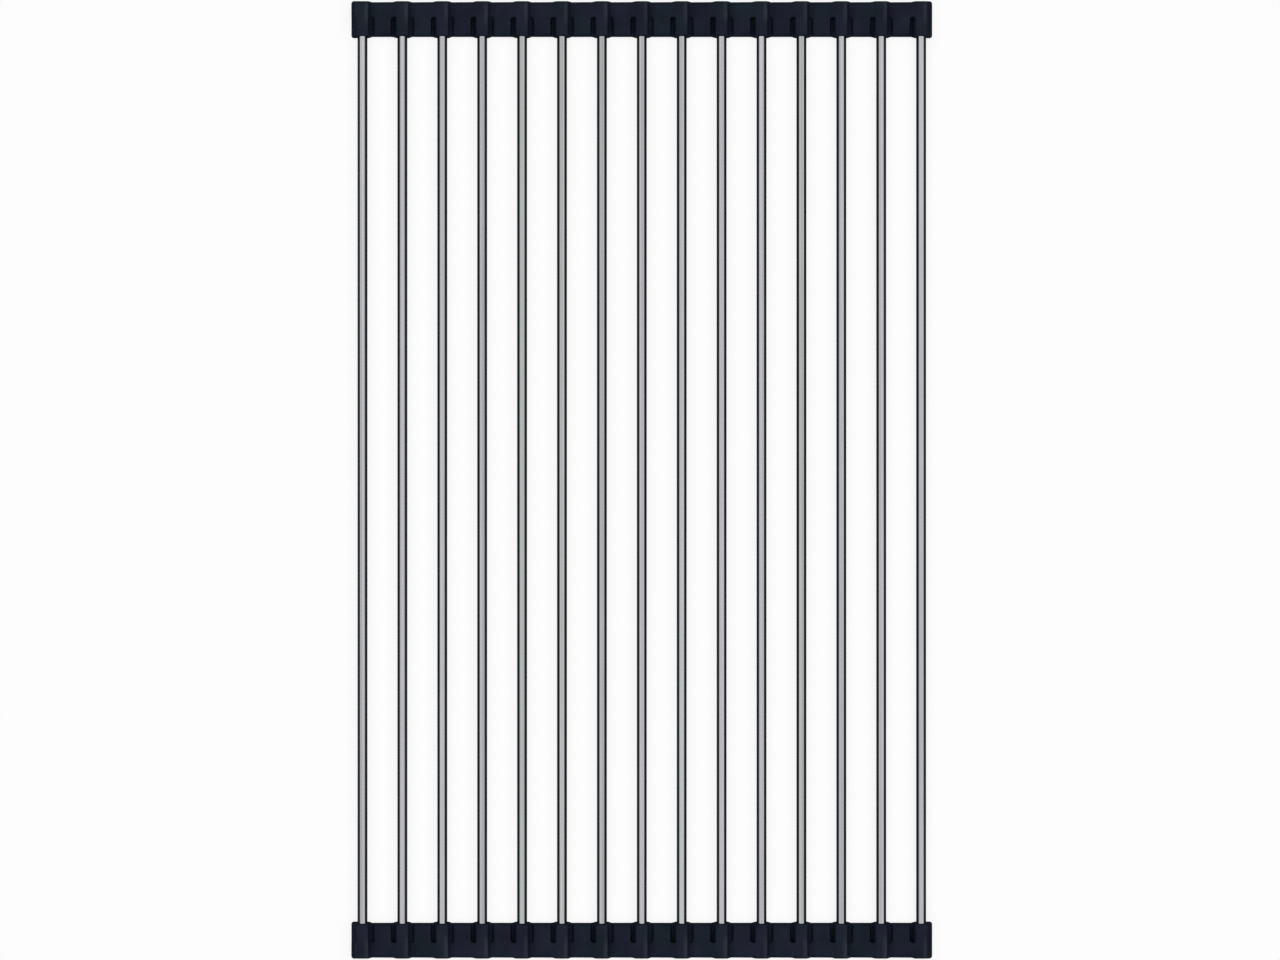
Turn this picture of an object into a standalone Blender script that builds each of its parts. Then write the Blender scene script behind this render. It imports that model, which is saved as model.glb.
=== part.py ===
"""A roll-up drainer grid that lies across a kitchen sink.

Fifteen stainless tubes lie side by side. Both ends of each tube sit in a blind socket of a
silicone strip, inside a rounded boss. Between two bosses the strip is a ramp that climbs
to the next boss, and at the foot of the ramp a groove leaves only a thin skin, on which the
strip flexes. Each strip is split along those flex lines, so that the grid can be rolled up.

Lengths are in metres. X runs along the strips, Y along the tubes and Z up. The grid lies
flat on z = 0 with the origin at the middle of its underside.
"""

import math

import bmesh
import bpy
from mathutils import Matrix, Vector

# Tubes
TUBE_COUNT = 15
TUBE_PITCH = 0.020
TUBE_DIAMETER = 0.005
TUBE_WALL = 0.0005
TUBE_SIDES = 24

# Whole grid, measured over the bosses at both ends of the tubes
GRID_LENGTH = 0.480

# Bosses with their blind sockets
BOSS_LENGTH = 0.0185
BOSS_WALL = 0.0012
SEAT_CLEARANCE = 0.0003
SOCKET_END_WALL = 0.003
SOCKET_SIDES = 16
MOUTH_CHAMFER = 0.0003

# Crest of a boss: a gently round top, a tight shoulder on each side, then a steep flank
CREST_RADIUS = 0.0072
CREST_STEPS = 2
SHOULDER_OUTSET = 0.0002
SHOULDER_WIDTH = 0.0006
SHOULDER_DROP = 0.001
SHOULDER_STEPS = 2

# Outline of the strip seen from above
OUTER_WEB_INSET = 0.00045
INNER_WEB_INSET = 0.0006
WEB_BEND_SPREAD = 0.0013
END_MARGIN = 0.0056
END_CORNER_RADIUS = 0.0012
END_CORNER_STEPS = 3

# Sloping sides of the strip, which take up a share of its height
OUTER_SIDE_WIDTH = 0.0011
INNER_SIDE_WIDTH = 0.0015
SIDE_DROP_SHARE = 0.55
SIDE_CURVE_POWER = 1.4
SIDE_STEPS = 2

# Flex groove between one boss and the ramp to the next
SKIN_THICKNESS = 0.0012
FLANK_DRAFT = 0.00015
FLANK_TO_FLEX_LINE = 0.0008
SPLIT_GAP = 0.0003
SPLIT_LEAN = 0.0003
FLEX_LINE_TO_RAMP = 0.00125
RAMP_FOOT_HEIGHT = 0.0029
FOOT_LENGTH = 0.0028
FOOT_STEPS = 2
RIM_HEIGHT = 0.0012

# Pockets on both sides of a boss, open towards the middle of the grid
POCKET_LENGTH = 0.0103
POCKET_FLOOR = 0.0016
POCKET_FAR_WALL = 0.0055
POCKET_CORNER_RADIUS = 0.0012
POCKET_CORNER_STEPS = 2

# Finishes, as linear red, green and blue, and roughness
STEEL_COLOUR = (0.56, 0.56, 0.58)
STEEL_ROUGHNESS = 0.28
SILICONE_COLOUR = (0.012, 0.015, 0.023)
SILICONE_ROUGHNESS = 0.5

# Modelling aids
CUT_OVERRUN = 0.001
MERGE_DISTANCE = 0.00001
SMOOTH_ANGLE = math.radians(35)

# Rung that stays put while both ends of the grid roll up
MIDDLE_RUNG = (TUBE_COUNT + 1) // 2

# Sizes that follow from the ones above
SOCKET_RADIUS = TUBE_DIAMETER / 2 + SEAT_CLEARANCE
BOSS_RADIUS = SOCKET_RADIUS + BOSS_WALL
TUBE_HEIGHT = BOSS_RADIUS
BOSS_HEIGHT = TUBE_HEIGHT + BOSS_RADIUS
CREST_HALF_WIDTH = SOCKET_RADIUS + SHOULDER_OUTSET - SHOULDER_WIDTH
TUBE_LENGTH = GRID_LENGTH - 2 * (SOCKET_END_WALL + SEAT_CLEARANCE)
FLEX_OFFSET = BOSS_RADIUS + FLANK_TO_FLEX_LINE
FLEX_HEIGHT = SKIN_THICKNESS / 2
RAMP_FOOT = FLEX_OFFSET - TUBE_PITCH + FLEX_LINE_TO_RAMP
FOOT_START = FLEX_OFFSET - TUBE_PITCH + SPLIT_GAP / 2 + SPLIT_LEAN


def tube_x(number):
    """The place of a tube's axis along the strips; tubes are numbered from 1 at -X."""
    return (number - (TUBE_COUNT + 1) / 2) * TUBE_PITCH


def smooth_step(share):
    """An S-curve from 0 to 1."""
    share = min(max(share, 0), 1)
    return share * share * (3 - 2 * share)


def mesh_from(bm, name):
    """A mesh with the faces of bm, all pointing out."""
    bmesh.ops.recalc_face_normals(bm, faces=bm.faces)
    mesh = bpy.data.meshes.new(name)
    bm.to_mesh(mesh)
    bm.free()
    return mesh


def evaluated_mesh(scratch, name):
    """The mesh of a scratch object with its modifiers applied. The object is removed."""
    bpy.context.view_layer.update()
    evaluated = scratch.evaluated_get(bpy.context.evaluated_depsgraph_get())
    mesh = bpy.data.meshes.new_from_object(evaluated)
    mesh.name = name
    bpy.data.objects.remove(scratch)
    return mesh


def scratch_object(mesh):
    """An object that only lives while a mesh is worked on."""
    scratch = bpy.data.objects.new("scratch", mesh)
    bpy.context.scene.collection.objects.link(scratch)
    return scratch


def turned_mesh(name, profile, closed, sides):
    """A solid turned about Z from (radius, z) points that run down its outer side."""
    bm = bmesh.new()
    points = [bm.verts.new((radius, 0, z)) for radius, z in profile]
    for first, second in zip(points, points[1:]):
        bm.edges.new((first, second))
    if closed:
        bm.edges.new((points[-1], points[0]))
    outline = bpy.data.meshes.new(name + "_profile")
    bm.to_mesh(outline)
    bm.free()
    scratch = scratch_object(outline)
    screw = scratch.modifiers.new("Turn", "SCREW")
    screw.steps = sides
    screw.render_steps = sides
    screw.use_merge_vertices = True
    screw.merge_threshold = MERGE_DISTANCE
    return evaluated_mesh(scratch, name)


def carved(mesh, cutters, name):
    """The mesh with every cutter mesh cut out of it."""
    solid = scratch_object(mesh)
    tools = [scratch_object(cutter) for cutter in cutters]
    for tool in tools:
        cut = solid.modifiers.new("Cut", "BOOLEAN")
        cut.operation = "DIFFERENCE"
        cut.solver = "EXACT"
        cut.object = tool
    result = evaluated_mesh(solid, name)
    for tool in tools:
        bpy.data.objects.remove(tool)
    return result


def tube_mesh():
    """A round steel tube, open at both ends, standing on its middle."""
    outer = TUBE_DIAMETER / 2
    inner = outer - TUBE_WALL
    half = TUBE_LENGTH / 2
    wall_section = [(outer, half), (outer, -half), (inner, -half), (inner, half)]
    return turned_mesh("tube", wall_section, True, TUBE_SIDES)


def crest_height(x):
    """Height of the gently round top of a boss at x."""
    return BOSS_HEIGHT - CREST_RADIUS + math.sqrt(CREST_RADIUS**2 - x**2)


def ramp_line():
    """Where the straight ramp touches the round crest, and how steeply it climbs."""
    rise = RAMP_FOOT_HEIGHT - BOSS_HEIGHT + CREST_RADIUS
    distance = math.hypot(RAMP_FOOT, rise)
    lean = math.asin(CREST_RADIUS / distance) - math.atan2(rise, -RAMP_FOOT)
    run = math.sqrt(distance**2 - CREST_RADIUS**2)
    return RAMP_FOOT + run * math.cos(lean), math.tan(lean)


def ramp_height(x):
    """Height at x of the straight ramp or of its line drawn on."""
    return RAMP_FOOT_HEIGHT + ramp_line()[1] * (x - RAMP_FOOT)


def side_loss(share):
    """Share of its height that the strip has lost at a share of the way up its sloping side."""
    return SIDE_DROP_SHARE * (1 - share) ** SIDE_CURVE_POWER


def shoulder_points():
    """Distance from the tube's axis and height, round the shoulder of a boss."""
    points = []
    for step in range(SHOULDER_STEPS + 1):
        turn = math.pi / 2 * step / SHOULDER_STEPS
        distance = CREST_HALF_WIDTH + SHOULDER_WIDTH * math.sin(turn)
        height = crest_height(CREST_HALF_WIDTH) - SHOULDER_DROP * (1 - math.cos(turn))
        points.append((distance, height))
    return points


def ramp_side():
    """Top points of a strip piece from its flex line up the ramp to its crest.

    Each point is (x, z, x of the point under it on the sole)."""
    points = []
    for step in range(FOOT_STEPS + 1):
        share = step / FOOT_STEPS
        x = FOOT_START + FOOT_LENGTH * share
        sunk = (ramp_height(FOOT_START) - SKIN_THICKNESS) * (1 - share) ** 2
        sole_x = x if step > 0 else FOOT_START - SPLIT_LEAN
        points.append((x, ramp_height(x) - sunk, sole_x))
    touch_x = ramp_line()[0]
    for x in (-BOSS_RADIUS - WEB_BEND_SPREAD, -BOSS_RADIUS, touch_x):
        points.append((x, ramp_height(x), x))
    for step in range(1, CREST_STEPS + 1):
        x = touch_x * (1 - step / CREST_STEPS)
        points.append((x, crest_height(x), x))
    return points


def end_block_side():
    """Top points of the first piece from the end face of the strip to its crest."""
    points = []
    for step in range(END_CORNER_STEPS + 1):
        share = step / END_CORNER_STEPS
        x = -END_MARGIN + END_CORNER_RADIUS * share
        points.append((x, BOSS_HEIGHT * (1 - side_loss(share)), x))
    points.append((0, BOSS_HEIGHT, 0))
    return points


def flank_side(last):
    """Top points of a piece from its crest over the shoulder and down the flank."""
    points = []
    for step in range(1, CREST_STEPS):
        x = CREST_HALF_WIDTH * step / CREST_STEPS
        points.append((x, crest_height(x), x))
    points += [(x, z, x) for x, z in shoulder_points()]
    if last:
        shoulder_x, shoulder_z, _ = points[-1]
        fall = (shoulder_z - RIM_HEIGHT) / (END_MARGIN - shoulder_x)
        for step in range(END_CORNER_STEPS + 1):
            x = END_MARGIN - END_CORNER_RADIUS * (1 - step / END_CORNER_STEPS)
            points.append((x, RIM_HEIGHT + fall * (END_MARGIN - x), x))
    else:
        foot_x = BOSS_RADIUS + FLANK_DRAFT
        split_x = FLEX_OFFSET - SPLIT_GAP / 2
        points.append((foot_x, SKIN_THICKNESS, foot_x))
        points.append((split_x - SPLIT_LEAN, SKIN_THICKNESS, split_x))
    return points


def web_inset(x, inset, first, last):
    """How far the long edge of a strip stands back at x, against the tip of a boss."""
    if (first and x < 0) or (last and x > 0):
        past = (abs(x) - END_MARGIN + END_CORNER_RADIUS) / END_CORNER_RADIUS
        return END_CORNER_RADIUS * (1 - math.sqrt(1 - min(max(past, 0), 1) ** 2))
    to_boss = min(abs(x), abs(x + TUBE_PITCH))
    return inset * smooth_step((to_boss - BOSS_RADIUS + WEB_BEND_SPREAD) / (2 * WEB_BEND_SPREAD))


def strip_body_mesh(first, last):
    """One strip piece without its socket and pockets, lofted across from y = 0 inwards."""
    top = (end_block_side() if first else ramp_side()) + flank_side(last)
    shares = [step / SIDE_STEPS for step in range(SIDE_STEPS + 1)]
    rows = []
    for share in shares:
        row = []
        for x, z, _ in top:
            y = web_inset(x, OUTER_WEB_INSET, first, last) + OUTER_SIDE_WIDTH * share
            row.append((x, y, z * (1 - side_loss(share))))
        rows.append(row)
    for share in reversed(shares):
        row = []
        for x, z, _ in top:
            inset = web_inset(x, INNER_WEB_INSET, first, last) + INNER_SIDE_WIDTH * share
            row.append((x, BOSS_LENGTH - inset, z * (1 - side_loss(share))))
        rows.append(row)
    bm = bmesh.new()
    grid = [[bm.verts.new(point) for point in row] for row in rows]
    outer_sole = [bm.verts.new((sole_x, vert.co.y, 0)) for (_, _, sole_x), vert in zip(top, grid[0])]
    inner_sole = [bm.verts.new((sole_x, vert.co.y, 0)) for (_, _, sole_x), vert in zip(top, grid[-1])]
    for row, next_row in zip([outer_sole] + grid, grid + [inner_sole]):
        for i in range(len(top) - 1):
            bm.faces.new((row[i], row[i + 1], next_row[i + 1], next_row[i]))
    for column in (0, -1):
        bm.faces.new([outer_sole[column]] + [row[column] for row in grid] + [inner_sole[column]])
    bm.faces.new(outer_sole + inner_sole[::-1])
    return mesh_from(bm, "strip_body")


def socket_cutter():
    """The blind socket of a boss with its chamfered mouth."""
    mouth = BOSS_LENGTH + CUT_OVERRUN
    chamfer_start = BOSS_LENGTH - MOUTH_CHAMFER
    mouth_radius = SOCKET_RADIUS + MOUTH_CHAMFER + CUT_OVERRUN
    profile = [(0, mouth), (mouth_radius, mouth), (SOCKET_RADIUS, chamfer_start),
               (SOCKET_RADIUS, SOCKET_END_WALL), (0, SOCKET_END_WALL)]
    mesh = turned_mesh("socket_cutter", profile, False, SOCKET_SIDES)
    mesh.transform(Matrix.Translation((0, 0, TUBE_HEIGHT)) @ Matrix.Rotation(-math.pi / 2, 4, "X"))
    return mesh


def prism_mesh(name, outline, start, end):
    """A solid with an outline of (x, z) points, running along Y from start to end."""
    bm = bmesh.new()
    face = bm.faces.new([bm.verts.new((x, start, z)) for x, z in outline])
    grown = bmesh.ops.extrude_face_region(bm, geom=[face])
    moved = [item for item in grown["geom"] if isinstance(item, bmesh.types.BMVert)]
    bmesh.ops.translate(bm, verts=moved, vec=(0, end - start, 0))
    return mesh_from(bm, name)


def round_upright_edge(mesh, x, y):
    """Rounds the upright edge of a cutter that stands at x, y."""
    bm = bmesh.new()
    bm.from_mesh(mesh)
    place = Vector((x, y))
    edges = [edge for edge in bm.edges
             if all((vert.co.xy - place).length < MERGE_DISTANCE for vert in edge.verts)]
    bmesh.ops.bevel(bm, geom=edges, offset=POCKET_CORNER_RADIUS, segments=POCKET_CORNER_STEPS,
                    profile=0.5, affect="EDGES")
    bm.to_mesh(mesh)
    bm.free()


def ramp_pocket_cutter():
    """The pocket between a ramp and its own boss, with the boss's flank left standing."""
    start = BOSS_LENGTH - POCKET_LENGTH
    above = BOSS_HEIGHT + CUT_OVERRUN
    outline = [(-POCKET_FAR_WALL, POCKET_FLOOR), (-POCKET_FAR_WALL, above)]
    outline.append((-CREST_HALF_WIDTH, above))
    outline += [(-distance, height) for distance, height in shoulder_points()]
    outline.append((-BOSS_RADIUS - FLANK_DRAFT, POCKET_FLOOR))
    mesh = prism_mesh("ramp_pocket_cutter", outline, start, BOSS_LENGTH + CUT_OVERRUN)
    round_upright_edge(mesh, -POCKET_FAR_WALL, start)
    return mesh


def foot_pocket_cutter():
    """The pocket at the foot of a ramp, beside the boss before it."""
    start = BOSS_LENGTH - POCKET_LENGTH
    near_side = FLEX_OFFSET - TUBE_PITCH - CUT_OVERRUN
    above = RAMP_FOOT_HEIGHT + CUT_OVERRUN
    outline = [(near_side, SKIN_THICKNESS), (near_side, above)]
    outline += [(RAMP_FOOT, above), (RAMP_FOOT, SKIN_THICKNESS)]
    mesh = prism_mesh("foot_pocket_cutter", outline, start, BOSS_LENGTH + CUT_OVERRUN)
    round_upright_edge(mesh, RAMP_FOOT, start)
    return mesh


def strip_piece_mesh(first, last):
    """One piece of the front strip, with y = 0 at its outer edge and x = 0 at its tube."""
    cutters = [socket_cutter()]
    if not first:
        cutters += [ramp_pocket_cutter(), foot_pocket_cutter()]
    return carved(strip_body_mesh(first, last), cutters, "strip_piece")


def mirrored(mesh):
    """A copy of a strip piece turned into one of the rear strip."""
    copy = mesh.copy()
    copy.transform(Matrix.Scale(-1, 4, (0, 1, 0)))
    copy.flip_normals()
    return copy


def material(name, colour, roughness, metallic):
    """A plain finish; its colour is linear red, green and blue."""
    finish = bpy.data.materials.new(name)
    finish.use_nodes = True
    shader = finish.node_tree.nodes["Principled BSDF"]
    shader.inputs["Base Color"].default_value = (*colour, 1)
    shader.inputs["Roughness"].default_value = roughness
    shader.inputs["Metallic"].default_value = metallic
    return finish


def finished(mesh, finish):
    """The mesh with its finish and with its round faces shaded smooth."""
    mesh.materials.clear()
    mesh.materials.append(finish)
    mesh.shade_smooth()
    mesh.set_sharp_from_angle(angle=SMOOTH_ANGLE)
    return mesh


def hang(child, collection, parent, place, parent_place):
    """Puts an object at a place in the world, under its parent."""
    collection.objects.link(child)
    child.parent = parent
    child.location = place - parent_place


def outwards():
    """Each rung with the rung that it turns on, from the middle one out to both ends."""
    order = [(MIDDLE_RUNG, None)]
    order += [(number, number - 1) for number in range(MIDDLE_RUNG + 1, TUBE_COUNT + 1)]
    order += [(number, number + 1) for number in range(MIDDLE_RUNG - 1, 0, -1)]
    return order


def flex_place(number):
    """The middle of the flex line on which a rung turns, or of the middle rung's sole."""
    if number == MIDDLE_RUNG:
        return Vector((tube_x(number), 0, 0))
    left_of_line = number - 1 if number > MIDDLE_RUNG else number
    return Vector((tube_x(left_of_line) + FLEX_OFFSET, 0, FLEX_HEIGHT))


def build():
    """Makes the grid from its middle rung outwards, each rung hanging on its flex line."""
    for old in list(bpy.data.objects):
        bpy.data.objects.remove(old)
    collection = bpy.data.collections.new("sink_drainer_grid")
    bpy.context.scene.collection.children.link(collection)
    steel = material("stainless_steel", STEEL_COLOUR, STEEL_ROUGHNESS, 1)
    silicone = material("dark_silicone", SILICONE_COLOUR, SILICONE_ROUGHNESS, 0)

    tube = finished(tube_mesh(), steel)
    kinds = {}
    for first, last in ((True, False), (False, False), (False, True)):
        front = finished(strip_piece_mesh(first, last), silicone)
        kinds[first, last] = (front, mirrored(front))

    axes = {}
    for number, held_by in outwards():
        axis = bpy.data.objects.new(f"rung_{number:02d}_axis", None)
        place = flex_place(number)
        if held_by is None:
            hang(axis, collection, None, place, Vector((0, 0, 0)))
        else:
            hang(axis, collection, axes[held_by], place, flex_place(held_by))
        axes[number] = axis

        tube_object = bpy.data.objects.new(f"tube_{number:02d}", tube)
        tube_object.rotation_euler = (-math.pi / 2, 0, 0)
        hang(tube_object, collection, axis, Vector((tube_x(number), 0, TUBE_HEIGHT)), place)

        front, rear = kinds[number == 1, number == TUBE_COUNT]
        for name, mesh, y in (("front", front, -GRID_LENGTH / 2), ("rear", rear, GRID_LENGTH / 2)):
            piece = bpy.data.objects.new(f"{name}_strip_{number:02d}", mesh)
            hang(piece, collection, axis, Vector((tube_x(number), y, 0)), place)


build()
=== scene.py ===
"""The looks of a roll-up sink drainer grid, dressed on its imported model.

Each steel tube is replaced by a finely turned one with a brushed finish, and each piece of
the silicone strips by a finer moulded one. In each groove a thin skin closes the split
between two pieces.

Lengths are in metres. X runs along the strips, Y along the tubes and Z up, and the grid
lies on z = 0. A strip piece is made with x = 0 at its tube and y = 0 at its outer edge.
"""

import math

import bmesh
import bpy
from mathutils import Matrix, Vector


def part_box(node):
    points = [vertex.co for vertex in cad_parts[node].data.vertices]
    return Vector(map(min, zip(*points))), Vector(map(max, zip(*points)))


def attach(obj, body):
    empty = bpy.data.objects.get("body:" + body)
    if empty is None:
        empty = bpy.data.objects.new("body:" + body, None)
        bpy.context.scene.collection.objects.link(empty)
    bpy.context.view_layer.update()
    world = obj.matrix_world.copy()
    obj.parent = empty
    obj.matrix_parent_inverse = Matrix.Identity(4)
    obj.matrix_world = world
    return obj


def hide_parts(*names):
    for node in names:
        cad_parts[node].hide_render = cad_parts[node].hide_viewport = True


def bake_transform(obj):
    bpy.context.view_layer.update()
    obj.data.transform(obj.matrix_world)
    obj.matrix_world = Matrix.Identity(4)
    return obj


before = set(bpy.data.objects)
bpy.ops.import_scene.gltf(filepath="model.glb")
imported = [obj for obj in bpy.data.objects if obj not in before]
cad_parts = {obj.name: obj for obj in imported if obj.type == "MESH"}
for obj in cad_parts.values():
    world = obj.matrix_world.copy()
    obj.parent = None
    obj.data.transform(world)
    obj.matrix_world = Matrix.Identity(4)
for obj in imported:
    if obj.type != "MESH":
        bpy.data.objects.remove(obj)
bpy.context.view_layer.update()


def middle(name):
    """The middle of a model piece's box."""
    low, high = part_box(name)
    return (low + high) / 2


def extent(name):
    """The size of a model piece's box."""
    low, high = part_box(name)
    return high - low


# Sizes that the model gives
TUBE_COUNT = sum(name.startswith("tube_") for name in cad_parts)
TUBE_PITCH = middle("tube_02").x - middle("tube_01").x
TUBE_RADIUS = extent("tube_02").x / 2
TUBE_LENGTH = extent("tube_02").y
TUBE_HEIGHT = middle("tube_02").z
GRID_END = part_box("rear_strip_02")[1].y
BOSS_LENGTH = extent("front_strip_02").y
BOSS_HEIGHT = extent("front_strip_02").z
BOSS_RADIUS = BOSS_HEIGHT - TUBE_HEIGHT
SPLIT_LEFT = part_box("front_strip_02")[0].x - middle("tube_02").x
SPLIT_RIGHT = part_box("front_strip_02")[1].x - middle("tube_02").x
FLEX_OFFSET = (SPLIT_RIGHT + SPLIT_LEFT + TUBE_PITCH) / 2
END_MARGIN = middle("tube_01").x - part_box("front_strip_01")[0].x

# Crest of a boss, as in the model: a gently round top with a tight shoulder on each side
CREST_RADIUS = 0.0072
CREST_HALF_WIDTH = 0.0024
SHOULDER_WIDTH = 0.0006
SHOULDER_DROP = 0.001

# Flanks of a boss, as metres of fall to a metre outwards, where the model's are steeper
GROOVE_FLANK_FALL = 2.75
SLOT_FLANK_FALL = 7.0
POCKET_FLANK_FALL = 4.0
LAST_FLANK_FALL = 3.5

# Outline of a strip from above and its sloping long sides, as in the model
OUTER_WEB_INSET = 0.00045
INNER_WEB_INSET = 0.0006
WEB_BEND_SPREAD = 0.0013
END_CORNER_RADIUS = 0.0012
OUTER_SIDE_WIDTH = 0.0011
INNER_SIDE_WIDTH = 0.0015
SIDE_DROP_SHARE = 0.55
SIDE_CURVE_POWER = 1.4

# Left end, which slopes further than in the model, and most of all beside its socket
END_SIDE_WIDTH = 0.0018
SOCKET_SIDE_WIDTH = 0.003
SOCKET_SIDE_DROP_SHARE = 0.8

# Ramp up to a boss, and the rim at the right end, as in the model
FLEX_LINE_TO_RAMP = 0.00125
RAMP_FOOT_HEIGHT = 0.0029
RIM_HEIGHT = 0.0012

# Pockets, socket and tube wall, as in the model
POCKET_LENGTH = 0.0103
POCKET_FLOOR = 0.0016
POCKET_FAR_WALL = 0.0055
POCKET_CORNER_RADIUS = 0.0012
SOCKET_END_WALL = 0.003
TUBE_WALL = 0.0005

# Slot beside a socket, sunk deeper in the groove, which has a flat floor in the model
SLOT_FLOOR = 0.0006
SLOT_FAR_WALL = 0.0005

# Rounding of the moulded silicone and of the tube ends
GROOVE_FILLET_SPREAD = 0.0016
SLOT_FILLET_SPREAD = 0.0005
SLOT_WALL_SPREAD = 0.0019
POCKET_FILLET_SPREAD = 0.0006
POCKET_WALL_SPREAD = 0.0009
RIM_FILLET_SPREAD = 0.0005
SOLE_EDGE_RADIUS = 0.0003
TUBE_END_RADIUS = 0.0001

# Grip of a socket on its tube, and its flared mouth
GRIP_CLEARANCE = 0.00005
MOUTH_FLARE = 0.0002
MOUTH_FLARE_DEPTH = 0.0009
CUT_OVERRUN = 0.001

# Skin in a groove, which lies a little inside the two pieces that it joins
SKIN_HALF_WIDTH = 0.001
SKIN_TUCK = 0.00002
SKIN_OVERLAP = 0.0003

# How finely things are meshed
FINE_STEP = 0.0001
MIDDLE_STEP = 0.0002
COARSE_STEP = 0.0009
CREST_STEP = 0.0004
ROUND_STEPS = 8
SOLE_STEPS = 2
SOCKET_SIDES = 48
TUBE_SIDES = 64
MERGE_DISTANCE = 0.00002
SHARP_ANGLE = math.radians(50)

# Values that noise mostly lies between, and the detail and roughness of fine and of soft noise
NOISE_LOW = 0.3
NOISE_HIGH = 0.7
FINE_NOISE = (3.0, 0.6)
SOFT_NOISE = (1.0, 0.5)

# Steel: the two tints that tubes lie between, the level at low angles, its gloss and relief
STEEL_TINTS = ((0.490, 0.520, 0.528, 1), (0.512, 0.512, 0.540, 1))
STEEL_EDGE_LEVEL = 0.4
STEEL_ROUGHNESS = (0.11, 0.2)
STEEL_BUMP_STRENGTH = 0.12
STEEL_BUMP_DEPTH = 0.00002

# Noise on the steel, as grains to a metre along X, Y and Z and the levels that they give
TUBE_LEVELS = (0.93, 1.05)
HAIRLINE_GRAINS = (5200, 28, 5200)
HAIRLINE_LEVELS = (0.93, 1.04)
STREAK_GRAINS = (800, 1.5, 800)
STREAK_LEVELS = (0.78, 1.1)
PATCH_GRAINS = (60, 22, 60)
PATCH_LEVELS = (0.97, 1.03)

# Painted reflection bands along a tube, by how far the surface faces sideways, and how dark the painted
# dark ones are
TOP_REFLECTION_EDGE = (0.41, 0.53)
SIDE_REFLECTION_EDGE = (0.94, 0.98)
SIDE_REFLECTION_SHARE = 0.7
DARK_REFLECTION_SHARE = 0.05

# Silicone: the two tints that it lies between, its tint under the painted highlight, its gloss and
# relief
SILICONE_TINTS = ((0.0146, 0.0160, 0.0298, 1), (0.0128, 0.0180, 0.0267, 1))
HIGHLIGHT_TINT = (0.0265, 0.0300, 0.0415, 1)
SILICONE_ROUGHNESS = (0.46, 0.58)
SILICONE_SPECULAR = 0.002
SILICONE_BUMP_STRENGTH = 0.25
SILICONE_BUMP_DEPTH = 0.00004
RIPPLE_SHARE = 1.5

# Noise on the silicone, and the part of its range in which one tint gives way to the other
MOTTLE_GRAINS = (75, 95, 75)
MOTTLE_LEVELS = (0.85, 1.15)
GRIT_GRAINS = (3200, 3200, 3200)
GRIT_LEVELS = (0.9, 1.1)
RIPPLE_GRAINS = (420, 260, 420)
TINT_GRAINS = (48, 60, 48)
TINT_CHANGE = (0.42, 0.58)

# Painted highlight on the right shoulder of a boss, by distance from the tube and by share of its
# length
HIGHLIGHT_RISE = (0.0, 0.0023)
HIGHLIGHT_FALL = (0.0026, 0.0031)
HIGHLIGHT_START_SHARE = 0.7
HIGHLIGHT_FULL_SHARE = 0.35
INNER_HIGHLIGHT = 0.1

# Photograph, with its pixels counted from 0, and the camera straight above the grid
PHOTO_WIDTH = 1280
PHOTO_HEIGHT = 960
METRES_PER_PIXEL = 0.00050123
GRID_MIDDLE_PIXEL = (641.3, 479.4)
CAMERA_HEIGHT = 6.0
SENSOR_MILLIMETRES = 36
VIEW_LIMIT = 100

# Light: a dome that is bright overhead and dark low down, and a little stronger from the right
DOME_LOW_Z = 0.5
DOME_HIGH_Z = 0.66
DOME_LOW_LEVEL = 0.02
DOME_HIGH_LEVEL = 1.4
RIGHT_START_X = 0.1
RIGHT_END_X = 0.75
RIGHT_LEVEL = 1.3

# Floor
FLOOR_SIZE = 60
FLOOR_CLEARANCE = 0.0001
FLOOR_LEVEL = 0.92
FLOOR_BOUNCE_LEVEL = 0.3
FLOOR_WHITE_SHARE = 0.8

# Places that follow from the sizes above
RAMP_FOOT = FLEX_OFFSET - TUBE_PITCH + FLEX_LINE_TO_RAMP
SLOT_FAR_EDGE = FLEX_OFFSET - TUBE_PITCH + SLOT_FAR_WALL
POCKET_START = BOSS_LENGTH - POCKET_LENGTH


def smooth_step(share):
    """An S-curve from 0 to 1."""
    share = min(max(share, 0), 1)
    return share * share * (3 - 2 * share)


def passed(distance, width):
    """From 0 to 1 for a distance past a line, eased over a width with the line in its middle."""
    return smooth_step(distance / width + 0.5)


def between(low, high, share):
    """The value a share of the way from low to high."""
    return low + (high - low) * share


def softly_larger(first, second, width):
    """The larger of two heights, eased where they are less than a width apart."""
    near = max(1 - abs(first - second) / width, 0)
    return max(first, second) + width * near**2 / 4


def stations(start, *spans):
    """Places from start through the end of each (end, step) span, evenly spaced in a span."""
    places = [start]
    for end, step in spans:
        begin = places[-1]
        count = max(1, round((end - begin) / step))
        places += [between(begin, end, number / count) for number in range(1, count + 1)]
    return places


def round_stations(radius):
    """Distances from an edge that step evenly round its radius."""
    turns = [math.pi / 2 * step / ROUND_STEPS for step in range(ROUND_STEPS + 1)]
    return [radius * (1 - math.cos(turn)) for turn in turns]


def rounding(distance, radius):
    """How far a surface has dropped at a distance inside a rounded edge."""
    left = min(max(radius - distance, 0), radius)
    return radius - math.sqrt(radius**2 - left**2)


def outside_corner(across, along, radius):
    """How far a point lies outside a region with one rounded corner; inside it is negative."""
    across += radius
    along += radius
    return min(max(across, along), 0) + math.hypot(max(across, 0), max(along, 0)) - radius


def crest_height(x):
    """Height of the gently round top of a boss at x."""
    return BOSS_HEIGHT - CREST_RADIUS + math.sqrt(CREST_RADIUS**2 - x**2)


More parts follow.
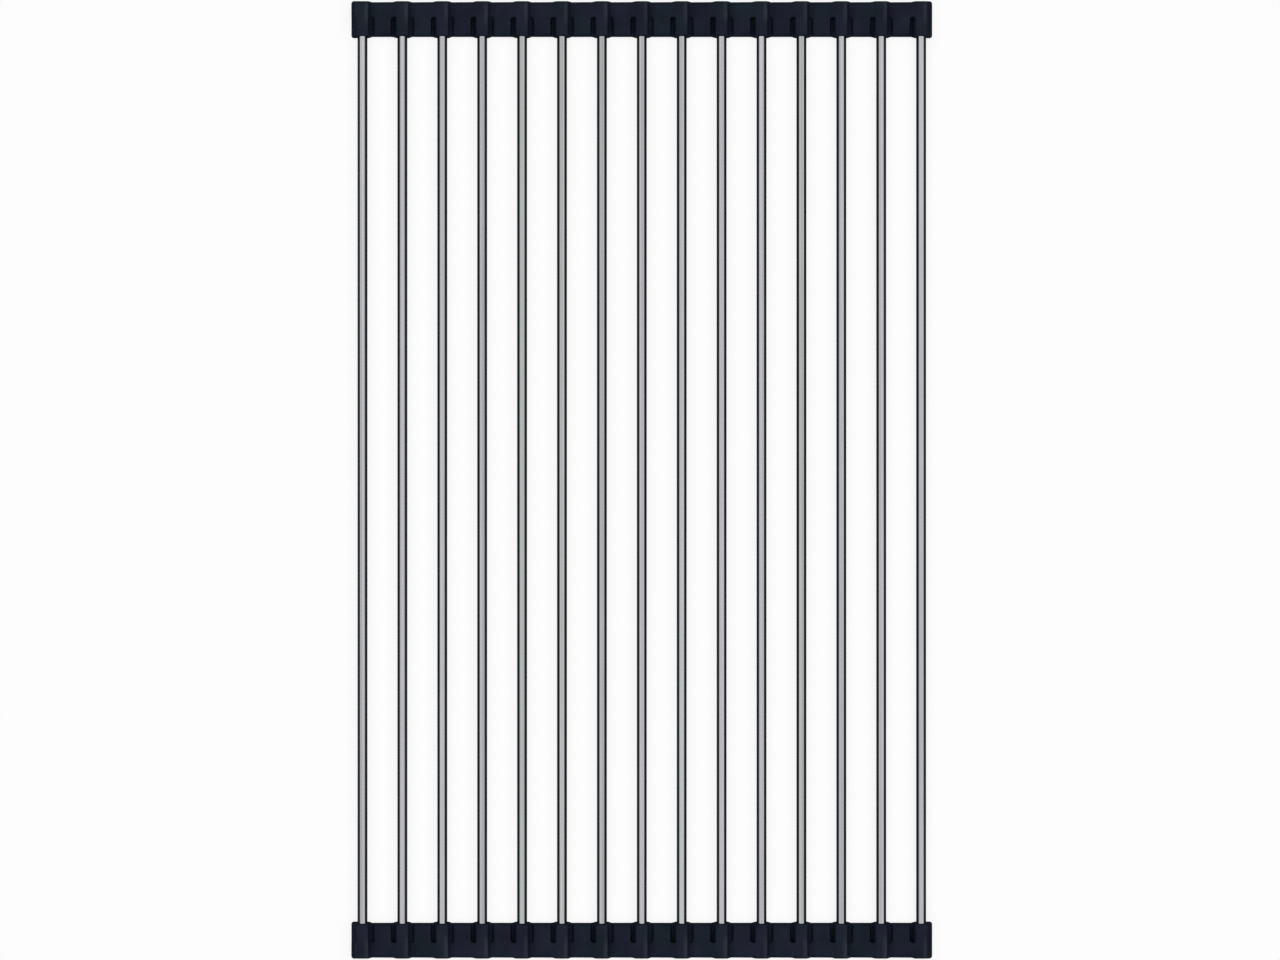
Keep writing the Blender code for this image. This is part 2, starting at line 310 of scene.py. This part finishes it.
def ramp_line():
    """Where the straight ramp touches the round crest, and how steeply it climbs."""
    rise = RAMP_FOOT_HEIGHT - BOSS_HEIGHT + CREST_RADIUS
    distance = math.hypot(RAMP_FOOT, rise)
    lean = math.asin(CREST_RADIUS / distance) - math.atan2(rise, -RAMP_FOOT)
    run = math.sqrt(distance**2 - CREST_RADIUS**2)
    return RAMP_FOOT + run * math.cos(lean), math.tan(lean)


def boss_side(distance, fall):
    """Height of a boss beside its tube: its crest, its shoulder and a flank of some fall."""
    beside = distance - CREST_HALF_WIDTH
    if beside <= 0:
        return crest_height(distance)
    height = crest_height(CREST_HALF_WIDTH)
    if beside <= SHOULDER_WIDTH:
        rounded = rounding(SHOULDER_WIDTH - beside, SHOULDER_WIDTH)
        return height - rounded * SHOULDER_DROP / SHOULDER_WIDTH
    return height - SHOULDER_DROP - fall * (beside - SHOULDER_WIDTH)


def side_slope(distance, width, drop_share):
    """Share of its height that a strip keeps at a distance up a sloping side of some width."""
    left = min(max(1 - distance / width, 0), 1)
    return 1 - drop_share * left**SIDE_CURVE_POWER


def rising_side(x, y):
    """Height left of a tube: the ramp up to its crest, with its pocket and its slot sunk in it."""
    touch_x, climb = ramp_line()
    height = crest_height(x) if x >= touch_x else RAMP_FOOT_HEIGHT + climb * (x - RAMP_FOOT)
    pocket = softly_larger(boss_side(-x, POCKET_FLANK_FALL), POCKET_FLOOR, POCKET_FILLET_SPREAD)
    wall = outside_corner(-POCKET_FAR_WALL - x, POCKET_START - y, POCKET_CORNER_RADIUS)
    height = between(pocket, height, passed(wall, POCKET_WALL_SPREAD))
    wall = outside_corner(x - SLOT_FAR_EDGE, POCKET_START - y, POCKET_CORNER_RADIUS)
    return between(SLOT_FLOOR, height, passed(wall, SLOT_WALL_SPREAD))


def open_top(x, y):
    """Height between two bosses, with x from 0 at the left one's tube to the pitch at the next."""
    in_slot = passed(y - POCKET_START, SLOT_WALL_SPREAD)
    left = boss_side(x, between(GROOVE_FLANK_FALL, SLOT_FLANK_FALL, in_slot))
    fillet = between(GROOVE_FILLET_SPREAD, SLOT_FILLET_SPREAD, in_slot)
    return softly_larger(left, rising_side(x - TUBE_PITCH, y), fillet)


def first_side(x, y):
    """Height of the first boss left of its tube, sloping to the end, further beside its socket."""
    beside_socket = passed(y - POCKET_START, SLOT_WALL_SPREAD)
    outer = side_slope(END_MARGIN + x, END_SIDE_WIDTH, SIDE_DROP_SHARE)
    inner = side_slope(END_MARGIN + x, SOCKET_SIDE_WIDTH, SOCKET_SIDE_DROP_SHARE)
    return BOSS_HEIGHT * between(outer, inner, beside_socket)


def last_side(x):
    """Height of the last boss right of its tube, falling to the end rim."""
    return softly_larger(boss_side(x, LAST_FLANK_FALL), RIM_HEIGHT, RIM_FILLET_SPREAD)


def web_inset(x, inset, first, last):
    """How far a long edge stands back at x, against the tip of a boss."""
    if (first and x < 0) or (last and x > 0):
        return rounding(END_MARGIN - abs(x), END_CORNER_RADIUS)
    to_boss = min(abs(x), abs(x + TUBE_PITCH), abs(x - TUBE_PITCH))
    return inset * smooth_step((to_boss - BOSS_RADIUS + WEB_BEND_SPREAD) / (2 * WEB_BEND_SPREAD))


def outline(x, first, last):
    """Where the outer and the inner long edge of a strip piece lie at x."""
    outer = web_inset(x, OUTER_WEB_INSET, first, last)
    inner = BOSS_LENGTH - web_inset(x, INNER_WEB_INSET, first, last)
    return outer, inner


def long_sides(y, outer, inner):
    """Share of its height that a strip keeps at y between its two sloping long sides."""
    return (side_slope(y - outer, OUTER_SIDE_WIDTH, SIDE_DROP_SHARE)
            * side_slope(inner - y, INNER_SIDE_WIDTH, SIDE_DROP_SHARE))


def strip_top(x, y, first, last):
    """Height of a strip piece at x, y, with its sloping sides."""
    if x < 0 and first:
        height = first_side(x, y)
    elif x >= 0 and last:
        height = last_side(x)
    else:
        height = open_top(x if x >= 0 else x + TUBE_PITCH, y)
    return height * long_sides(y, *outline(x, first, last))


def end_stations():
    """Distances from the left end, close together in its corner and where it slopes."""
    places = round_stations(END_CORNER_RADIUS)
    return places + stations(places[-1], (SOCKET_SIDE_WIDTH, MIDDLE_STEP))[1:]


def strip_stations_along(first, last):
    """Where a strip piece has its columns of points, close together where its top turns."""
    shoulder = CREST_HALF_WIDTH + SHOULDER_WIDTH
    bend = [shoulder - distance for distance in reversed(round_stations(SHOULDER_WIDTH))]
    if first:
        ends = [distance - END_MARGIN for distance in end_stations()]
        places = ends + stations(ends[-1], (-CREST_HALF_WIDTH, MIDDLE_STEP))[1:]
    else:
        wall = POCKET_WALL_SPREAD
        places = stations(FLEX_OFFSET - TUBE_PITCH + SKIN_HALF_WIDTH, (RAMP_FOOT + wall, FINE_STEP),
                          (-POCKET_FAR_WALL - wall, COARSE_STEP), (-shoulder, FINE_STEP))
        places += [-x for x in reversed(bend[:-1])]
    places += stations(places[-1], (CREST_HALF_WIDTH, CREST_STEP))[1:-1] + bend
    if last:
        rim = [END_MARGIN - distance for distance in reversed(round_stations(END_CORNER_RADIUS))]
        return places + stations(shoulder, (rim[0], MIDDLE_STEP))[1:-1] + rim
    return places + stations(shoulder, (FLEX_OFFSET - SKIN_HALF_WIDTH, MIDDLE_STEP))[1:]


def strip_stations_across():
    """Where a strip piece has its rows of points, as distances from its outer edge."""
    return stations(0, (OUTER_SIDE_WIDTH, FINE_STEP), (POCKET_START - POCKET_WALL_SPREAD, COARSE_STEP),
                    (POCKET_START + POCKET_CORNER_RADIUS, FINE_STEP),
                    (BOSS_LENGTH - INNER_SIDE_WIDTH, COARSE_STEP), (BOSS_LENGTH, FINE_STEP))


def top_points(surface, columns, rows, edges, top):
    """The rows of points of a moulded top, joined by faces."""
    grid = []
    for distance in rows:
        share = (distance - rows[0]) / (rows[-1] - rows[0])
        row = []
        for x in columns:
            y = between(*edges(x), share)
            row.append(surface.verts.new((x, y, top(x, y))))
        grid.append(row)
    for row, next_row in zip(grid, grid[1:]):
        for i in range(len(columns) - 1):
            surface.faces.new((row[i], row[i + 1], next_row[i + 1], next_row[i]))
    return grid


def sole_ring(surface, border, turn):
    """Points below a border, some turn of the way round the rounded edge of the sole."""
    inset = SOLE_EDGE_RADIUS * (1 - math.cos(turn))
    height = SOLE_EDGE_RADIUS * (1 - math.sin(turn))
    ring = []
    for i, point in enumerate(border):
        along = (border[(i + 1) % len(border)].co - border[i - 1].co).xy.normalized()
        x = point.co.x - along.y * inset
        y = point.co.y + along.x * inset
        ring.append(surface.verts.new((x, y, height)))
    return ring


def close_sole(surface, ring, column_count, side_count):
    """Closes the sole inside its ring of points with a face from edge to edge in each column."""
    outer = ring[:column_count]
    right = ring[column_count:column_count + side_count]
    inner = ring[column_count + side_count:2 * column_count + side_count][::-1]
    left = ring[2 * column_count + side_count:]
    for i in range(column_count - 1):
        loop = [outer[i], outer[i + 1]]
        if i == column_count - 2:
            loop += right
        loop += [inner[i + 1], inner[i]]
        if i == 0:
            loop += left
        surface.faces.new(loop)


def moulded_mesh(name, columns, rows, edges, top):
    """A closed solid with a top of columns by rows of points, walls and a flat sole.

    edges(x) gives both ends of a column and top(x, y) its height."""
    surface = bmesh.new()
    grid = top_points(surface, columns, rows, edges, top)
    right = [row[-1] for row in grid[1:-1]]
    left = [row[0] for row in grid[1:-1]]
    border = grid[0] + right + grid[-1][::-1] + left[::-1]
    ring = border
    for step in range(SOLE_STEPS + 1):
        next_ring = sole_ring(surface, border, math.pi / 2 * step / SOLE_STEPS)
        for i in range(len(border)):
            j = (i + 1) % len(border)
            surface.faces.new((ring[i], next_ring[i], next_ring[j], ring[j]))
        ring = next_ring
    close_sole(surface, ring, len(columns), len(right))
    bmesh.ops.recalc_face_normals(surface, faces=surface.faces)
    mesh = bpy.data.meshes.new(name)
    surface.to_mesh(mesh)
    surface.free()
    return mesh


def scratch_object(mesh):
    """An object that only lives while a mesh is worked on."""
    scratch = bpy.data.objects.new("scratch", mesh)
    bpy.context.scene.collection.objects.link(scratch)
    return scratch


def evaluated_mesh(scratch, name):
    """The mesh of a scratch object with its modifiers applied. The object is removed."""
    bpy.context.view_layer.update()
    evaluated = scratch.evaluated_get(bpy.context.evaluated_depsgraph_get())
    mesh = bpy.data.meshes.new_from_object(evaluated)
    mesh.name = name
    bpy.data.objects.remove(scratch)
    return mesh


def turned_mesh(name, profile, closed, sides):
    """A profile of (radius, distance along Y) points turned round the Y axis."""
    line = bmesh.new()
    points = [line.verts.new((radius, 0, distance)) for radius, distance in profile]
    next_points = points[1:] + points[:1] if closed else points[1:]
    for point, next_point in zip(points, next_points):
        line.edges.new((point, next_point))
    mesh = bpy.data.meshes.new("profile")
    line.to_mesh(mesh)
    line.free()
    scratch = scratch_object(mesh)
    turn = scratch.modifiers.new("Turn", "SCREW")
    turn.steps = sides
    turn.render_steps = sides
    turn.use_merge_vertices = True
    turn.merge_threshold = MERGE_DISTANCE
    turn.use_normal_calculate = True
    turned = evaluated_mesh(scratch, name)
    turned.transform(Matrix.Rotation(-math.pi / 2, 4, "X"))
    return turned


def socket_mesh():
    """The blind socket that grips a tube, with its flared mouth, as a turned cutter."""
    grip = TUBE_RADIUS + GRIP_CLEARANCE
    wide = grip + MOUTH_FLARE
    profile = [(0, BOSS_LENGTH + CUT_OVERRUN), (wide, BOSS_LENGTH + CUT_OVERRUN)]
    for step in range(ROUND_STEPS + 1):
        share = step / ROUND_STEPS
        profile.append((grip + MOUTH_FLARE * (1 - share)**2, BOSS_LENGTH - MOUTH_FLARE_DEPTH * share))
    profile += [(grip, SOCKET_END_WALL), (0, SOCKET_END_WALL)]
    cutter = turned_mesh("socket", profile, False, SOCKET_SIDES)
    cutter.transform(Matrix.Translation((0, 0, TUBE_HEIGHT)))
    return cutter


def tube_mesh():
    """A tube with its bore and slightly rounded ends, with x = 0, y = 0 at its middle."""
    half = TUBE_LENGTH / 2
    bore = TUBE_RADIUS - TUBE_WALL
    rear_rim = [(TUBE_RADIUS - rounding(distance, TUBE_END_RADIUS), half - distance)
                for distance in round_stations(TUBE_END_RADIUS)]
    front_rim = [(radius, -along) for radius, along in reversed(rear_rim)]
    profile = [(bore, half), *rear_rim, *front_rim, (bore, -half)]
    tube = turned_mesh("tube", profile, True, TUBE_SIDES)
    tube.transform(Matrix.Translation((0, 0, TUBE_HEIGHT)))
    return tube


def strip_mesh(first, last):
    """A moulded strip piece with its socket."""
    body = moulded_mesh("strip", strip_stations_along(first, last), strip_stations_across(),
                        lambda x: outline(x, first, last),
                        lambda x, y: strip_top(x, y, first, last))
    solid = scratch_object(body)
    tool = scratch_object(socket_mesh())
    cut = solid.modifiers.new("Cut", "BOOLEAN")
    cut.operation = "DIFFERENCE"
    cut.solver = "EXACT"
    cut.object = tool
    mesh = evaluated_mesh(solid, "strip")
    bpy.data.objects.remove(tool)
    return mesh


def skin_mesh():
    """The thin skin that closes a groove, with x = 0 on its flex line."""
    def edges(x):
        outer, inner = outline(FLEX_OFFSET + x, False, False)
        return outer + SKIN_TUCK, inner - SKIN_TUCK

    def top(x, y):
        return open_top(FLEX_OFFSET + x, y) * long_sides(y, *edges(x)) - 2 * SKIN_TUCK

    reach = SKIN_HALF_WIDTH + SKIN_OVERLAP
    columns = stations(-reach, (reach, FINE_STEP))
    mesh = moulded_mesh("skin", columns, strip_stations_across(), edges, top)
    mesh.transform(Matrix.Translation((0, 0, SKIN_TUCK)))
    return mesh


def node(tree, kind, inputs=(), **properties):
    """A shader node with its properties set and its inputs set or linked."""
    made = tree.nodes.new(kind)
    for name, value in properties.items():
        setattr(made, name, value)
    for name, value in dict(inputs).items():
        if isinstance(value, bpy.types.NodeSocket):
            tree.links.new(value, made.inputs[name])
        else:
            made.inputs[name].default_value = value
    return made


def new_finish(name):
    """A material with its node tree and its shader."""
    finish = bpy.data.materials.new(name)
    finish.use_nodes = True
    tree = finish.node_tree
    return finish, tree, tree.nodes["Principled BSDF"]


def noise(tree, place, grains, detail=2.0, roughness=0.5):
    """Noise with about this many grains to a metre along X, Y and Z."""
    scaled = node(tree, "ShaderNodeVectorMath", {0: place, 1: grains}, operation="MULTIPLY")
    made = node(tree, "ShaderNodeTexNoise", {"Vector": scaled.outputs[0], "Scale": 1.0,
                                             "Detail": detail, "Roughness": roughness})
    return made.outputs["Fac"]


def spread(tree, value, low, high, start=NOISE_LOW, end=NOISE_HIGH, shape="LINEAR"):
    """The range from start to end of a value, spread over low to high."""
    made = node(tree, "ShaderNodeMapRange", {"Value": value, "From Min": start, "From Max": end,
                                             "To Min": low, "To Max": high},
                interpolation_type=shape)
    return made.outputs["Result"]


def changed(tree, operation, value):
    """A value put through an operation of arithmetic."""
    return node(tree, "ShaderNodeMath", {0: value}, operation=operation).outputs[0]


def combined(tree, operation, *values):
    """Values put together by an operation of arithmetic, from left to right."""
    result = values[0]
    for value in values[1:]:
        result = node(tree, "ShaderNodeMath", {0: result, 1: value}, operation=operation).outputs[0]
    return result


def product(tree, *values):
    """The product of values."""
    return combined(tree, "MULTIPLY", *values)


def mixed(tree, share, first, second):
    """The colour a share of the way from the first to the second."""
    made = node(tree, "ShaderNodeMix", {"Factor": share, "A": first, "B": second}, data_type="RGBA")
    return made.outputs["Result"]


def grey(level):
    """A grey of some level, where 1 is white."""
    return (level, level, level, 1)


def set_surface(tree, shader, tint, brightness, roughness):
    """Gives a shader its colour, a tint at some brightness, and its roughness."""
    colour = node(tree, "ShaderNodeVectorMath", {0: tint, "Scale": brightness}, operation="SCALE")
    tree.links.new(colour.outputs[0], shader.inputs["Base Color"])
    tree.links.new(roughness, shader.inputs["Roughness"])


def set_relief(tree, shader, height, strength, depth):
    """Gives a shader a fine relief."""
    bump = node(tree, "ShaderNodeBump", {"Height": height, "Strength": strength, "Distance": depth})
    tree.links.new(bump.outputs["Normal"], shader.inputs["Normal"])


def tube_number(tree, x):
    """A whole number that tells which tube a place at x belongs to."""
    return changed(tree, "ROUND", combined(tree, "DIVIDE", x, TUBE_PITCH))


def painted_reflection_bands(tree, normal):
    """Painted reflections: light bands on top, below and at both sides of a tube, with painted dark
    ones between them.
    """
    apart = node(tree, "ShaderNodeSeparateXYZ", {0: normal})
    sideways = changed(tree, "ABSOLUTE", apart.outputs["X"])
    upright = spread(tree, sideways, 1, DARK_REFLECTION_SHARE, *TOP_REFLECTION_EDGE, "SMOOTHSTEP")
    beside = spread(tree, sideways, DARK_REFLECTION_SHARE, SIDE_REFLECTION_SHARE, *SIDE_REFLECTION_EDGE, "SMOOTHSTEP")
    return combined(tree, "MAXIMUM", upright, beside)


def brushed_steel():
    """Stainless tube, brushed along its length, each with its own tone and its own streaks, and with
    painted reflection bands along it.
    """
    finish, tree, shader = new_finish("brushed_steel")
    coordinates = node(tree, "ShaderNodeTexCoord")
    place = coordinates.outputs["Object"]
    apart = node(tree, "ShaderNodeSeparateXYZ", {0: place})
    number = tube_number(tree, apart.outputs["X"])
    chance = node(tree, "ShaderNodeTexWhiteNoise", {"W": number}, noise_dimensions="1D")
    by_tube = chance.outputs["Value"]
    hairlines = noise(tree, place, HAIRLINE_GRAINS, *FINE_NOISE)
    streaks = noise(tree, place, STREAK_GRAINS, *SOFT_NOISE)
    patches = noise(tree, place, PATCH_GRAINS)
    # The brightness holds painted reflections: the tube is painted dark where it faces partly sideways
    brightness = product(tree, spread(tree, by_tube, *TUBE_LEVELS, 0, 1),
                         spread(tree, hairlines, *HAIRLINE_LEVELS),
                         spread(tree, streaks, *STREAK_LEVELS),
                         spread(tree, patches, *PATCH_LEVELS),
                         painted_reflection_bands(tree, coordinates.outputs["Normal"]))
    tint = mixed(tree, by_tube, *STEEL_TINTS)
    set_surface(tree, shader, tint, brightness, spread(tree, hairlines, *STEEL_ROUGHNESS))
    set_relief(tree, shader, hairlines, STEEL_BUMP_STRENGTH, STEEL_BUMP_DEPTH)
    shader.inputs["Metallic"].default_value = 1
    shader.inputs["Specular Tint"].default_value = grey(STEEL_EDGE_LEVEL)
    return finish


def painted_shoulder_highlight(tree, apart):
    """From 0 to 1, how strong the painted highlight on the right shoulder of a boss is, most of all
    near its outer end.
    """
    x = apart.outputs["X"]
    tube_x = product(tree, tube_number(tree, x), TUBE_PITCH)
    across = combined(tree, "SUBTRACT", x, tube_x)
    rise = spread(tree, across, 0, 1, *HIGHLIGHT_RISE, "SMOOTHSTEP")
    fall = spread(tree, across, 1, 0, *HIGHLIGHT_FALL, "SMOOTHSTEP")
    along = changed(tree, "ABSOLUTE", apart.outputs["Y"])
    start = GRID_END - BOSS_LENGTH * HIGHLIGHT_START_SHARE
    full = GRID_END - BOSS_LENGTH * HIGHLIGHT_FULL_SHARE
    outer = spread(tree, along, INNER_HIGHLIGHT, 1, start, full, "SMOOTHSTEP")
    return product(tree, rise, fall, outer)


def dark_silicone():
    """Moulded navy-black silicone with a faint mottle, a fine matt grain and a painted highlight on the
    right shoulders.
    """
    finish, tree, shader = new_finish("dark_silicone")
    place = node(tree, "ShaderNodeTexCoord").outputs["Object"]
    apart = node(tree, "ShaderNodeSeparateXYZ", {0: place})
    mottle = noise(tree, place, MOTTLE_GRAINS)
    change = noise(tree, place, TINT_GRAINS, *SOFT_NOISE)
    grit = noise(tree, place, GRIT_GRAINS, *FINE_NOISE)
    ripple = noise(tree, place, RIPPLE_GRAINS)
    base_tint = mixed(tree, spread(tree, change, 0, 1, *TINT_CHANGE), *SILICONE_TINTS)
    # Painted highlight: the right shoulder of each boss is made lighter, as if lit from the right
    tint = mixed(tree, painted_shoulder_highlight(tree, apart), base_tint, HIGHLIGHT_TINT)
    brightness = product(tree, spread(tree, mottle, *MOTTLE_LEVELS), spread(tree, grit, *GRIT_LEVELS))
    set_surface(tree, shader, tint, brightness, spread(tree, mottle, *SILICONE_ROUGHNESS))
    height = combined(tree, "ADD", product(tree, ripple, RIPPLE_SHARE), grit)
    set_relief(tree, shader, height, SILICONE_BUMP_STRENGTH, SILICONE_BUMP_DEPTH)
    shader.inputs["Specular IOR Level"].default_value = SILICONE_SPECULAR
    return finish


def finished(mesh, finish):
    """The mesh with its finish, shaded smooth but for its sharp edges."""
    mesh.materials.clear()
    mesh.materials.append(finish)
    mesh.shade_smooth()
    mesh.set_sharp_from_angle(angle=SHARP_ANGLE)
    return mesh


def placed(name, mesh, place):
    """A new piece made of a copy of a mesh, moved to its place, with its material slot."""
    own = mesh.copy()
    own.transform(Matrix.Translation(place))
    piece = bpy.data.objects.new(name, own)
    bpy.context.scene.collection.objects.link(piece)
    return piece


def make_strips(finish):
    """Both silicone strips: a moulding for each rung and a skin in each groove."""
    kinds = {ends: finished(strip_mesh(*ends), finish)
             for ends in ((True, False), (False, False), (False, True))}
    skin = finished(skin_mesh(), finish)
    for word, edge_y in (("front", -GRID_END), ("rear", GRID_END)):
        if word == "rear":
            # The rear strip is the mirror image of the front one
            for mesh in (*kinds.values(), skin):
                mesh.transform(Matrix.Scale(-1, 4, (0, 1, 0)))
                mesh.flip_normals()
        for number in range(1, TUBE_COUNT + 1):
            tube_x = middle(f"tube_{number:02d}").x
            kind = kinds[number == 1, number == TUBE_COUNT]
            piece = placed(f"{word}_moulding_{number:02d}", kind, (tube_x, edge_y, 0))
            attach(piece, f"rung_{number:02d}")
            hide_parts(f"{word}_strip_{number:02d}")
        for number in range(1, TUBE_COUNT):
            flex_x = middle(f"tube_{number:02d}").x + FLEX_OFFSET
            piece = placed(f"{word}_skin_{number:02d}", skin, (flex_x, edge_y, 0))
            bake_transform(piece)


def make_tubes(finish):
    """The steel tubes, one for each rung."""
    tube = finished(tube_mesh(), finish)
    for number in range(1, TUBE_COUNT + 1):
        tube_x = middle(f"tube_{number:02d}").x
        piece = placed(f"turned_tube_{number:02d}", tube, (tube_x, 0, 0))
        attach(piece, f"rung_{number:02d}")
        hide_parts(f"tube_{number:02d}")


def make_camera():
    """A camera straight above the grid, far off and with a long lens, as the photograph has."""
    data = bpy.data.cameras.new("camera")
    data.sensor_width = SENSOR_MILLIMETRES
    data.lens = SENSOR_MILLIMETRES * (CAMERA_HEIGHT - TUBE_HEIGHT) / (PHOTO_WIDTH * METRES_PER_PIXEL)
    data.clip_end = VIEW_LIMIT
    camera = bpy.data.objects.new("camera", data)
    right = (PHOTO_WIDTH - 1) / 2 - GRID_MIDDLE_PIXEL[0]
    up = GRID_MIDDLE_PIXEL[1] - (PHOTO_HEIGHT - 1) / 2
    camera.location = (right * METRES_PER_PIXEL, up * METRES_PER_PIXEL, CAMERA_HEIGHT)
    bpy.context.scene.collection.objects.link(camera)
    bpy.context.scene.camera = camera


def seen_directly(tree):
    """1 where the camera, a reflection or a see-through piece shows this, and 0 for its light."""
    path = node(tree, "ShaderNodeLightPath").outputs
    return combined(tree, "MAXIMUM", path["Is Camera Ray"], path["Is Glossy Ray"],
                    path["Is Transmission Ray"])


def make_light():
    """Soft light from the dome, which itself shows white."""
    world = bpy.data.worlds.new("studio")
    bpy.context.scene.world = world
    world.use_nodes = True
    tree = world.node_tree
    direction = node(tree, "ShaderNodeTexCoord").outputs["Generated"]
    apart = node(tree, "ShaderNodeSeparateXYZ", {0: direction})
    dome = spread(tree, apart.outputs["Z"], DOME_LOW_LEVEL, DOME_HIGH_LEVEL, DOME_LOW_Z, DOME_HIGH_Z,
                  "SMOOTHSTEP")
    right = spread(tree, apart.outputs["X"], 1.0, RIGHT_LEVEL, RIGHT_START_X, RIGHT_END_X, "SMOOTHSTEP")
    light = product(tree, dome, right)
    level = node(tree, "ShaderNodeMix", {"Factor": seen_directly(tree), "A": light, "B": 1.0},
                 data_type="FLOAT")
    background = tree.nodes["Background"]
    background.inputs["Color"].default_value = grey(1)
    tree.links.new(level.outputs["Result"], background.inputs["Strength"])


def make_floor():
    """A pale floor that shows white to the camera and in reflections, and keeps the shadow.

    It throws less light back up than its level would, so that steep faces are as dark as in
    the photograph."""
    bpy.ops.mesh.primitive_plane_add(size=FLOOR_SIZE, location=(0, 0, -FLOOR_CLEARANCE))
    floor = bpy.context.object
    floor.name = "floor"
    finish, tree, shader = new_finish("pale_floor")
    path = node(tree, "ShaderNodeLightPath").outputs
    pale = mixed(tree, path["Is Diffuse Ray"], grey(FLOOR_LEVEL), grey(FLOOR_BOUNCE_LEVEL))
    tree.links.new(pale, shader.inputs["Base Color"])
    shader.inputs["Roughness"].default_value = 1
    shader.inputs["Specular IOR Level"].default_value = 0
    share = product(tree, seen_directly(tree), FLOOR_WHITE_SHARE)
    white = node(tree, "ShaderNodeEmission", {"Color": grey(1), "Strength": 1.0})
    mix = node(tree, "ShaderNodeMixShader", {0: share, 1: shader.outputs[0], 2: white.outputs[0]})
    tree.links.new(mix.outputs[0], tree.nodes["Material Output"].inputs["Surface"])
    floor.data.materials.append(finish)


make_camera()
make_light()
make_floor()
make_tubes(brushed_steel())
make_strips(dark_silicone())
bpy.context.scene.view_settings.view_transform = "Standard"
